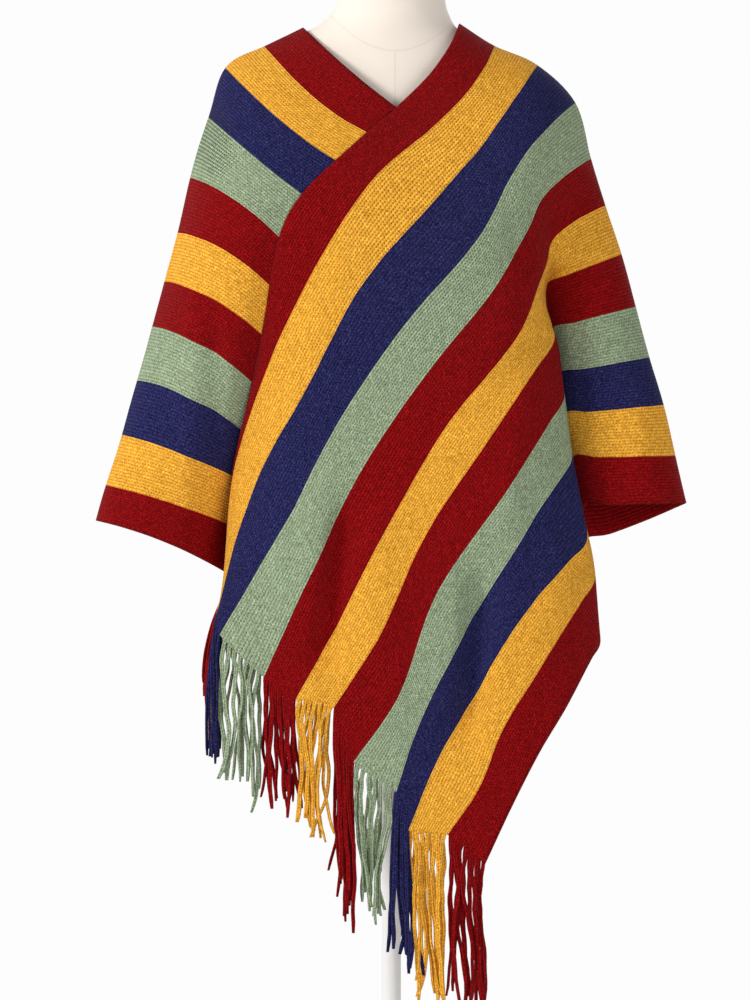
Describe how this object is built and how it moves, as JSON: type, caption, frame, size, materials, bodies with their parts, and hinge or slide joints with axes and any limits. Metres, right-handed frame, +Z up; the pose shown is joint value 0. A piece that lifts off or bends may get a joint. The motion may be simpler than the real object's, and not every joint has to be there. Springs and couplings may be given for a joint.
{
  "type": "knitted poncho sweater on a dress form",
  "caption": "Striped knit poncho with wide elbow sleeves, a V neck and a slanting fringed hem, worn by a limbless dress form on a pole and round base.",
  "frame": {"origin": "centre of the round base's underside, on the floor", "axes": "+Z up along the pole, the garment's front faces -Y, +X to the right seen from the front"},
  "size_m": [0.6244, 0.35, 1.4713],
  "materials": {
    "wrap_knit": "matte striped wool knit",
    "shoulder_knit": "matte striped wool knit",
    "red_knit": "matte dark red yarn",
    "mustard_knit": "matte mustard yarn",
    "navy_knit": "matte navy yarn",
    "sage_knit": "matte sage green yarn",
    "cream_cloth": "smooth cream woven cloth",
    "pale_paint": "off-white satin paint"
  },
  "bodies": {
    "root": {"wrap_front": "wrap_knit", "wrap_back": "wrap_knit", "shoulder_strip": "shoulder_knit", "fringe_front_01": "red_knit", "fringe_front_02": "mustard_knit", "fringe_front_03": "navy_knit", "fringe_front_04": "sage_knit", "fringe_front_05": "red_knit", "fringe_front_06": "mustard_knit", "fringe_front_07": "red_knit", "fringe_front_08": "sage_knit", "fringe_front_09": "navy_knit", "fringe_front_10": "mustard_knit", "fringe_front_11": "red_knit", "fringe_back_01": "red_knit", "fringe_back_02": "mustard_knit", "fringe_back_03": "navy_knit", "fringe_back_04": "sage_knit", "fringe_back_05": "red_knit", "fringe_back_06": "mustard_knit", "fringe_back_07": "red_knit", "fringe_back_08": "sage_knit", "fringe_back_09": "navy_knit", "fringe_back_10": "mustard_knit", "fringe_back_11": "red_knit", "dress_form": "cream_cloth", "neck_cap": "cream_cloth", "stand_pole": "pale_paint", "stand_base": "pale_paint"}
  },
  "joints": []
}
